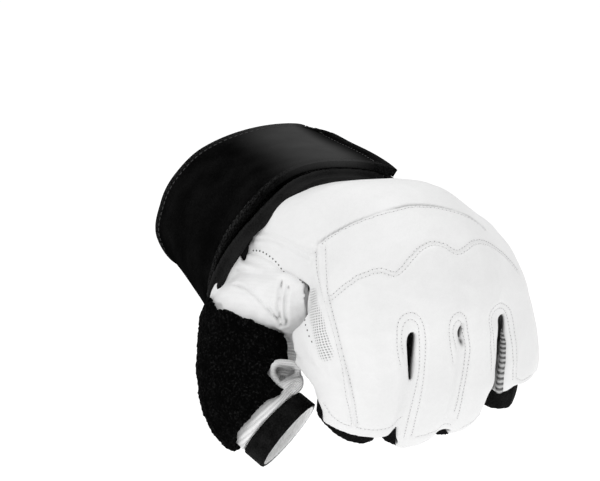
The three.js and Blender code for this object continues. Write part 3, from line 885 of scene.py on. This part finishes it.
# Small moves that bring the slots' edges to their places in the photograph.
SLOT_PULLS = [
    ((6.9, -94.4, -25.2), (0.5, -0.17, 0), 4.5), ((9.9, -94.4, -25.7), (0.5, -0.17, 0), 4.5),
    ((6.4, -95.5, -18.2), (0.3, -0.1, 0), 4.5), ((9.9, -95.0, -18.9), (0.3, -0.1, 0), 4.5),
    ((5.4, -96.6, -9.6), (-0.6, 0.2, 0), 3), ((10.5, -96.0, -10.6), (0.2, -0.1, 0), 3),
    ((27.1, -94.3, -8.1), (-0.8, 0.27, 0), 4.5), ((30.9, -92.5, -10.2), (-1.1, 0.37, 0), 4.5),
    ((44.3, -87.0, -8.3), (-1.4, 0.47, 0), 4), ((51.1, -81.6, -12.3), (-0.3, 0.1, 0), 4),
    ((42.0, -88.6, -18.4), (-0.3, 0.1, 0), 3), ((51.5, -81.5, -22.9), (1.02, -0.35, 0), 4),
    ((52.2, -80.6, -30.1), (1.71, -0.58, 0), 4.5), ((52.6, -78.7, -38.1), (2.41, -0.82, 0), 5),
    ((43.3, -84.4, -36.1), (0.85, -0.29, 0), 4), ((7.1, -81.8, -52.6), (2.65, -1.11, -0.5), 4.5),
    ((-1.3, -89.7, -46.5), (1.29, -0.57, -0.33), 4), ((27.7, -77.6, -55.1), (3.4, -1, 0.5), 4),
    ((29.0, -81.0, -52.9), (1.37, -0.47, 0), 3),
]
HEMS = [pull(line, SLOT_PULLS) for line in HEMS]
SLOT_ROWS = [pull(line, SLOT_PULLS) for line in SLOT_ROWS]

shell = soft_copy(SHELL_NODES, "leather_shell", voxel=0.65, rounds=60, puff=-0.1, grow=0.32)
palm = soft_copy(["palm_panel"], "palm_leather", voxel=0.6, rounds=60, puff=0.1)

nudge(shell, SLOT_PULLS)
ripple(shell, size=18, height=0.55, seed=2)
ripple(shell, size=6, height=0.12, seed=3)
sew_down(shell, KNUCKLE_WAVE, depth=0.45, width=0.9)
sew_down(shell, BACK_SEAM, depth=0.5, width=0.5)
sew_down(shell, INDEX_RIDGE, depth=-0.75, width=0.8, swell=0.4)
for line in (INDEX_LEFT, INDEX_RIGHT):
    sew_down(shell, line, depth=0.3, width=0.6)
for line in [*SLOT_ROWS, *HEMS]:
    sew_down(shell, line, depth=0.22, width=0.6)
for line in BACK_RIDGES:
    sew_down(shell, line, depth=-0.6, width=0.7, swell=0.5)

strip_away = distance_to(points_of(shell), route(MESH_STRIP))
ridge_away = distance_to(points_of(shell), route(INDEX_RIDGE))
left_of_ridge = np.clip((ridge_away - strip_away * 0.5) / 0.8, 0, 1)
mark(shell, "mesh_strip", fade(strip_away, STRIP_WIDTH, power=6) * left_of_ridge)

# The ridge and the leather beside the thumb are kept free of the painted shade, though something
# lies close ahead of them.
on_ridge = fade(ridge_away, RIDGE_CLEAR, power=4)
thumb_away = np.linalg.norm(points_of(shell) / MM - THUMB_TOUCH, axis=1)
beside_thumb = fade(thumb_away, THUMB_CLEAR, power=4)
gap_shade = gaps_of(shell, solids) * (1 - on_ridge) * (1 - 0.8 * beside_thumb)
# Painted shade is also added in the back seam's groove and in the middle slot's slit.
gap_shade = gap_shade + 0.55 * near(shell, BACK_SEAM, 0.42) + near(shell, SLIT, 0.8)
mark(shell, "gap_shade", gap_shade)
# Painted shade on the palm, where its way out is blocked.
mark(palm, "gap_shade", gaps_of(palm, solids))

dress(shell, SHELL_NODES, leather)
dress(palm, ["palm_panel"], leather)

# Thumb

THUMB_AXIS = [
    (-22, -36, -6), (-30, -45, -16), (-34, -52, -30), (-37, -60, -40), (-28, -66, -50),
    (-14, -74, -56),
]
# Rolls of cloth, each a route and a radius: the seam's roll, the gusset's edge, two beside the
# seam, the gap beside the index finger, and three lips of the gathered knit.
THUMB_ROLLS = [
    (
        [
            (-36, -38.6, 2.6), (-33.7, -41.4, 3.3), (-31.3, -44.3, 2.9), (-29.1, -47, 3),
            (-27.3, -49.4, 2.7), (-24.8, -53.2, 2.9), (-22.3, -56.9, 2.9), (-20.8, -60.2, 2.1),
            (-19.8, -62.4, 0.9),
        ],
        1.7,
    ),
    (
        [
            (-34.1, -37.9, 4.7), (-36.8, -37.0, 2.8), (-39.0, -36.5, -0.2), (-40.9, -36.5, -4.2),
            (-42.3, -36.6, -7.9), (-43.3, -36.6, -11.7),
        ],
        3,
    ),
    (
        [
            (-31.8, -38.8, 5.2), (-28.4, -43.5, 5.7), (-26.1, -48.0, 4.9), (-24.4, -50.9, 3.1),
            (-22.9, -55.1, 1.5), (-20.2, -59.3, 1.2),
        ],
        2.2,
    ),
    ([(-32.7, -39.2, 2.7), (-29.9, -43.4, 3.2), (-27.3, -47.2, 2.8), (-25.3, -51.2, 1.8)], 2.2),
    (
        [
            (-18.8, -60.6, 1.9), (-18.7, -60.4, -0.1), (-18.2, -61.2, -2.9), (-18.3, -61.4, -5.8),
            (-18.2, -61.1, -9),
        ],
        1.6,
    ),
    (
        [
            (-32.2, -66.1, -26.1), (-30.7, -66.2, -24.8), (-28.0, -66.9, -24.5),
            (-25.5, -68.4, -24.6), (-23.8, -69.9, -25.2), (-22.9, -70.7, -26.3),
        ],
        1.6,
    ),
    (
        [
            (-31.9, -66.4, -26.0), (-32.2, -67.4, -28.3), (-31.7, -68.7, -30.5),
            (-30.5, -70.5, -32.2),
        ],
        1.6,
    ),
    (
        [
            (-30.5, -71.1, -32.1), (-28.5, -70.6, -30.9), (-26.7, -70.8, -29.0),
            (-24.9, -70.9, -28.0), (-23.8, -70.9, -29.6), (-24.1, -70.9, -32.2),
            (-25.8, -70.2, -34.2),
        ],
        1.7,
    ),
]
PATCH_NUDGES = [
    ((-52.4, -44.5, -13.0), (1.35, -0.46, 0.0), 7.0),
    ((-54.1, -48.5, -18.9), (1.01, -0.34, 0.0), 7.0),
    ((-55.6, -54.6, -29.3), (-0.71, 0.11, -0.33), 6.0),
    ((-54.9, -56.3, -39.6), (-1.08, 0.16, -0.5), 6.0),
    ((-53.2, -62.9, -46.6), (-1.09, 0.1, -0.66), 6.0),
    ((-49.7, -66.8, -52.5), (-0.76, -0.01, -0.66), 5.0),
    ((-45.6, -75.2, -44.7), (-1.21, 0.81, 0.98), 6.0),
    ((-40.8, -77.9, -36.5), (-1.2, 0.81, 0.98), 5.0),
    ((-35.5, -76.7, -33.2), (-0.75, 0.52, 0.65), 4.0),
    ((-34.8, -70.5, -28.1), (1.0, -0.34, 0.0), 4.0),
    ((-48.3, -47.1, -7.1), (-0.1, -1.1, -2.2), 5.0),
]
ROLL_HOLE = [(-30.2, -67.9, -26.8), (-28.7, -69.1, -26.9), (-26.4, -70.0, -27.2)]
GUSSET_NUDGES = [((-48.3, -47.1, -8.5), (1.2, 0.4, -0.6), 6)]
# The knit is ribbed past the patch's end, inside the thumb's bend and on the gathered roll.
PATCH_END, PATCH_END_OUT = (-34.2, -65, -44.6), (0.5, -0.65, -0.57)
THUMB_BEND, THUMB_RUCHE = (-22.8, -58, -24), (-27, -69, -28)

thumb = soft_copy(
    ["thumb_gusset", "thumb_tube"], "thumb_sleeve", voxel=0.55, rounds=60, puff=0.05,
    extra=[roll(points, radius) for points, radius in THUMB_ROLLS],
)
nudge(thumb, GUSSET_NUDGES)
for line in THUMB_CREASES:
    sew_down(thumb, line, depth=0.8, width=0.6)
sew_down(thumb, ROLL_HOLE, depth=1.4, width=0.9, swell=0.0)
ripple(thumb, size=7, height=0.35, seed=4)
wrap_coords(thumb, THUMB_AXIS)
places = points_of(thumb) / MM
past_patch = (places - PATCH_END) @ np.array(PATCH_END_OUT)
bend_away = np.linalg.norm(places - THUMB_BEND, axis=1)
ruche_away = np.linalg.norm(places - THUMB_RUCHE, axis=1)
end_ribs = np.clip((past_patch + 1) / 2, 0.06, 1)
bend_ribs = np.clip((9 - np.minimum(bend_away, ruche_away + 2)) / 3, 0, 1)
mark(thumb, "ribbed", np.maximum(end_ribs, bend_ribs))
# Painted shade: in the creases, in the roll's hole, round the gathered roll, and a little where the
# way out is blocked.
creased = sum(near(thumb, line, 0.35) for line in THUMB_CREASES)
gap_shade = gaps_of(thumb, solids, reach=5.0) * 0.35 + 0.8 * creased
gap_shade = gap_shade + 0.9 * near(thumb, ROLL_HOLE, 2.2) + 0.1 * np.clip((8 - ruche_away) / 3, 0, 1)
mark(thumb, "gap_shade", gap_shade)
dress(thumb, ["thumb_gusset", "thumb_tube"], knit)

thumb_band = soft_copy(["thumb_band"], "thumb_elastic", voxel=0.45, rounds=30)
wrap_coords(thumb_band, THUMB_AXIS)
dress(thumb_band, ["thumb_band"], elastic)

patch = soft_copy(["thumb_patch"], "terry_patch", voxel=0.42, rounds=40)
nudge(patch, PATCH_NUDGES)
ripple(patch, size=1.1, height=0.55, seed=5)
ripple(patch, size=4, height=0.3, seed=6)
dress(patch, ["thumb_patch"], terry)

# Fingers

FINGER_AXES = {
    "index": [(-6.5, -80, -12), (-6.5, -79, -30), (-7.5, -75, -42), (-7.5, -71, -54)],
    "middle": [(14.6, -80, -12), (14.3, -78, -32), (13.2, -74, -45), (12.5, -68, -60)],
    "ring": [(34.4, -73.7, -12), (34, -72.4, -33), (33, -68.5, -45), (32, -62, -60)],
    "little": [(57.3, -58, -12), (58.5, -58, -30), (58.9, -55, -43), (59, -50, -60)],
}
# The little finger's knit swells into the slot beside it.
SLOT_KNIT_RADIUS = 1.5
SLOT_KNIT = [
    (50.6, -79.3, -13.1), (50.7, -79.7, -16.9), (50.6, -80.1, -22.2), (50.5, -80.0, -29.3),
    (50.2, -78.7, -37.0), (50.1, -77.6, -43.0),
]
FINGER_PULLS = {
    "index": [
        ((-7.9, -80.2, -50.1), (1.8, -1.3, -1.66), 16),
        ((-17.3, -72.8, -42.6), (-0.05, 1.51, 4.4), 7),
    ],
    "middle": [((10.2, -75.1, -57.1), (3.07, -1.11, -0.17), 14)],
    "ring": [((33.8, -68, -59.5), (0.9, -1, -1.9), 14)],
    "little": [((59.7, -58.8, -55.6), (3.1, -1.35, -1.05), 16)],
}
for finger, axis in FINGER_AXES.items():
    in_slot = finger == "little"
    rolls = [roll(SLOT_KNIT, SLOT_KNIT_RADIUS)] if in_slot else []
    node = "finger_tube_" + finger
    tube = soft_copy([node], finger + "_knit", voxel=0.5, rounds=30, extra=rolls)
    nudge(tube, FINGER_PULLS[finger])
    wrap_coords(tube, axis)
    # Painted shade where the way out is blocked; none on the little finger's knit in its slot.
    mark(tube, "gap_shade", gaps_of(tube, solids, reach=7.0, rounds=3) * (0.0 if in_slot else 1.6))
    dress(tube, [node], purl)
    node = "finger_band_" + finger
    band = soft_copy([node], finger + "_elastic", voxel=0.44, rounds=15)
    nudge(band, FINGER_PULLS[finger])
    wrap_coords(band, axis)
    dress(band, [node], elastic)

# Wrist

# Angles run along the strap's winding, in degrees: from STRAP_END, its free end, over 0 on the back
# of the wrist and round by the thumb to STRAP_START, its hidden end. Its front is the hand's side.
STRAP_WIDTH, STRAP_THICK = 56, 3.2
HALF_WIDTH = STRAP_WIDTH / 2
STRAP_END, STRAP_START = -34.5, 372
# It lies over its hidden end up to STRAP_LAP, and then comes down to the cuff over STRAP_DOWN.
STRAP_LAP, STRAP_DOWN, CLEAR = 30, 78, 0.35
# The free end is lifted and slanted, its back corner is cut away and both corners are rounded.
STRAP_LIFT, LIFT_OVER = 1.2, 16
STRAP_SLANT, SLANT_OVER = 9, 30
CORNER_TO, BACK_CUT, FRONT_CUT = -14, 14, 5
BACK_ROUNDING, FRONT_ROUNDING = 3.5, 0.6
STRAP_HIGH, HIGH_FALL = 0.8, (30, 50)
# The wrist's outline: middle, half sizes, turn, widening towards the hand, and squareness.
STRAP_MIDDLE, STRAP_HALF = (-3.2, -3), (42.3, 28.6)
STRAP_ROLL, STRAP_FLARE, STRAP_SQUARE = 4, 2.2, 2.03
# The lean towards the thumb and the bulge low at the back: sizes, and where they rise and fall.
LEAN_IN, LEAN_FORWARD, LEAN_MOST = 8.5, 8, 1.2
LEAN_RISE, LEAN_FALL = (-8, 50), (60, 150)
BACK_BULGE, BULGE_RISE, BULGE_FALL = 2, (70, 95), (115, 140)
BULGE_FROM, BULGE_OVER = -10, 38


def limit(value, low, high):
    return min(max(value, low), high)


def smooth(low, high, value):
    """0 under low, 1 over high, and a smooth step between them."""
    t = limit((value - low) / (high - low), 0, 1)
    return t * t * (3 - 2 * t)


def wrist_point(y, angle, offset):
    """A point round the wrist, as the winding goes, in mm."""
    grow = STRAP_FLARE * (1 - 2 * smooth(-HALF_WIDTH, HALF_WIDTH, y)) + offset
    turn = math.radians(-angle)
    x, z = (
        math.copysign(abs(v) ** (2 / STRAP_SQUARE), v) for v in (math.sin(turn), math.cos(turn))
    )
    x, z = (STRAP_HALF[0] + grow) * x, (STRAP_HALF[1] + grow) * z
    tilt = math.radians(-STRAP_ROLL)
    return Vector(
        (
            x * math.cos(tilt) + z * math.sin(tilt) + STRAP_MIDDLE[0],
            y,
            -x * math.sin(tilt) + z * math.cos(tilt) + STRAP_MIDDLE[1],
        )
    )


def lean(y, angle):
    """How far the winding is pulled round and forward by the thumb, and out low at the back."""
    to_front = limit((HALF_WIDTH - y) / STRAP_WIDTH, 0, LEAN_MOST)
    to_back = limit((y - BULGE_FROM) / BULGE_OVER, 0, 1)
    side = smooth(*LEAN_RISE, angle) * (1 - smooth(*LEAN_FALL, angle)) * to_front
    low = smooth(*BULGE_RISE, angle) * (1 - smooth(*BULGE_FALL, angle)) * to_back
    return Vector((LEAN_IN * side - BACK_BULGE * low, -LEAN_FORWARD * side, 0))


def strap_point(y, angle, offset):
    """A point of the strap: offset mm from its inside, at an angle along the winding."""
    lap = (STRAP_THICK + CLEAR) * (1 - smooth(STRAP_LAP, STRAP_LAP + STRAP_DOWN, angle))
    lift = STRAP_LIFT * (1 - smooth(STRAP_END, STRAP_END + LIFT_OVER, angle))
    slant = STRAP_SLANT * (y / STRAP_WIDTH)
    slant *= 1 - smooth(STRAP_END, STRAP_END + SLANT_OVER, angle)
    corner = 1 - smooth(STRAP_END, CORNER_TO, angle)
    high = STRAP_HIGH * limit(y / HALF_WIDTH, 0, 1) * (1 - smooth(*HIGH_FALL, angle))
    cut = (BACK_CUT if y > 0 else FRONT_CUT) * (corner * y / HALF_WIDTH) ** 2
    slant += (BACK_ROUNDING if y > 0 else FRONT_ROUNDING) * corner * (y / HALF_WIDTH) ** 8
    return wrist_point(y - cut, angle + slant, lap + lift + high + offset) + lean(y, angle)


def follow_strap(piece):
    """Leans the cuff as the strap leans, so that it stays inside the winding."""
    places = points_of(piece)
    for i, place in enumerate(places):
        x, z = place[0] / MM - STRAP_MIDDLE[0], place[2] / MM - STRAP_MIDDLE[1]
        angle = math.degrees(math.atan2(-x / STRAP_HALF[0], z / STRAP_HALF[1]))
        places[i] += np.array(lean(place[1] / MM, angle)) * MM
    put_points(piece, places)


# The cuff's folds in front of the strap: two rolls, and low ridges with one crest at RIDGE_TOP.
RIDGE_RADIUS, RIDGE_PITCH, RIDGE_HEIGHT, RIDGE_TOP, RIDGES_FROM = 1.3, 3.3, 0.45, -33, -27
FRONT_RIDGES = [
    [tuple(wrist_point(y, angle, STRAP_THICK + out)) for angle in range(-36, 136, 8)]
    for y, out in ((-29.2, -0.6), (-31.6, -1.9))
]
cuff = soft_copy(
    ["wrist_cuff"], "wrist_cuff_jersey", voxel=0.75, rounds=20,
    extra=[roll(line, RIDGE_RADIUS) for line in FRONT_RIDGES],
)
ripple(cuff, size=9, height=0.35, seed=7)
places = points_of(cuff)
in_front = np.clip((RIDGES_FROM * MM - places[:, 1]) / (2 * MM), 0, 1)
along = 2 * math.pi * (places[:, 1] / MM - RIDGE_TOP) / RIDGE_PITCH
ridges = np.cos(along) * RIDGE_HEIGHT * in_front
put_points(cuff, places + normals_of(cuff) * (ridges * MM)[:, None])
on_rolls = sum(near(cuff, line, RIDGE_RADIUS) for line in FRONT_RIDGES)
# The ridges and rolls are marked for a painted highlight in the jersey.
mark(cuff, "ridge", np.maximum(ridges / RIDGE_HEIGHT, on_rolls - 0.2))
follow_strap(cuff)
dress(cuff, ["wrist_cuff"], neoprene)

# The strap's grid, and how far its weave runs along it, in metres.
STRAP_ROWS, STRAP_STEPS = 76, 300
WEAVE_RUN = 0.245
# It is a little smaller than its solid, has a raised rim just inside its edge, and rolled edges.
END_TRIM, WALL_TRIM = 0.2, 0.15
ANGLE_TO_MM = 0.55
RIM_INSET, RIM_WIDTH, RIM_HEIGHT = 1.2, 1.4, 0.5
EDGE_ROLL, EDGE_ANGLE = 1.1, 50


def make_strap():
    """The strap, wound from its free end to its hidden end, with rolled edges and a raised rim."""
    bpy.ops.object.select_all(action="DESELECT")
    bpy.ops.mesh.primitive_grid_add(
        x_subdivisions=STRAP_STEPS, y_subdivisions=STRAP_ROWS, size=2
    )
    piece = bpy.context.object
    piece.name = "wound_strap"
    layer = piece.data.uv_layers.active or piece.data.uv_layers.new(name="UVMap")
    places = points_of(piece)
    middle = STRAP_THICK / 2
    for loop in piece.data.loops:
        u, v, _ = places[loop.vertex_index]
        layer.data[loop.index].uv = (v * STRAP_WIDTH / 2 * MM, (u + 1) / 2 * WEAVE_RUN)
    shaped, rims = [], []
    for u, v, _ in places:
        y = v * (HALF_WIDTH - END_TRIM)
        angle = STRAP_END + END_TRIM + (STRAP_START - STRAP_END - 2 * END_TRIM) * (u + 1) / 2
        inset = min(HALF_WIDTH - abs(y), (angle - STRAP_END) * ANGLE_TO_MM)
        rims.append(max(0, 1 - abs(inset - RIM_INSET) / RIM_WIDTH))
        shaped.append(list(strap_point(y, angle, middle + RIM_HEIGHT * rims[-1]) * MM))
    put_points(piece, np.array(shaped))
    # The rim's mark is used for a painted highlight in the strap's colour.
    mark(piece, "rim", rims)
    wall = piece.modifiers.new("wall", "SOLIDIFY")
    wall.thickness = (STRAP_THICK - WALL_TRIM) * MM
    wall.offset = 0
    edge = piece.modifiers.new("rolled_edge", "BEVEL")
    edge.width = EDGE_ROLL * MM
    edge.segments = 3
    edge.limit_method = "ANGLE"
    edge.angle_limit = math.radians(EDGE_ANGLE)
    apply_all(piece)
    bpy.ops.object.shade_smooth()
    return piece


strap = make_strap()
STRAP_EDGE = HALF_WIDTH - 2.6
ROWS_FROM, ROWS_TO = STRAP_END + 8, STRAP_START - 50


def strap_line(y, first, last, count=60):
    """A line along the strap's outer face."""
    return [
        tuple(strap_point(y, first + (last - first) * i / count, STRAP_THICK))
        for i in range(count + 1)
    ]


STRAP_LINES = [strap_line(y, ROWS_FROM, ROWS_TO) for y in (-STRAP_EDGE, STRAP_EDGE)]
STRAP_LINES.append(
    [
        tuple(strap_point(y, ROWS_FROM, STRAP_THICK))
        for y in np.linspace(-STRAP_EDGE, STRAP_EDGE, 12)
    ]
)
for line in STRAP_LINES:
    sew_down(strap, line, depth=0.6, width=0.6)
dress(strap, ["wrist_strap"], webbing)

# Stitches

# Pitches along a row, and how far to the side of its route each row lies.
LEATHER_PITCH, THUMB_PITCH, EYELET_PITCH, STRAP_PITCH = 1.45, 1.6, 2.3, 2.2
TWIN_ROWS, ONE_ROW, BACK_ROW = (-0.85, 0.85), (0.0,), (-1.3,)
LEATHER_ROWS = [
    (KNUCKLE_WAVE, TWIN_ROWS), (INDEX_LEFT, ONE_ROW), (INDEX_RIGHT, ONE_ROW), (BACK_SEAM, BACK_ROW),
    *[(line, ONE_ROW) for line in [*SLOT_ROWS, *HEMS]],
]

shell_face = surface_of(shell)
white = Stitching("leather_stitches", length=1.1, width=0.5, height=0.42, sink=0.02)
# Grey beads between the stitches: painted shade in the needle holes.
holes = Stitching("needle_hole_shade", length=0.45, width=0.42, height=0.2, sink=0.02)
for line, aside in LEATHER_ROWS:
    white.sew(shell_face, line, LEATHER_PITCH, aside)
    holes.sew(shell_face, line, LEATHER_PITCH, aside, start=1.0)
white.finish(white_thread, "leather")
holes.finish(hole_shade)

# Dark beads in the thumb seam's needle holes and in the eyelets: painted shade.
pins = Stitching("thumb_needle_hole_shade", length=0.6, width=0.6, height=0.3, sink=0.0)
pins.sew(surface_of(thumb, shell), NEEDLE_SEAM, THUMB_PITCH)
pins.sew(shell_face, EYELETS, EYELET_PITCH)
pins.finish(pin_shade)

black = Stitching("strap_stitches", length=1.5, width=0.5, height=0.4, sink=0.1)
strap_face = surface_of(strap)
for line in STRAP_LINES:
    black.sew(strap_face, line, STRAP_PITCH)
black.finish(black_thread, "strap")
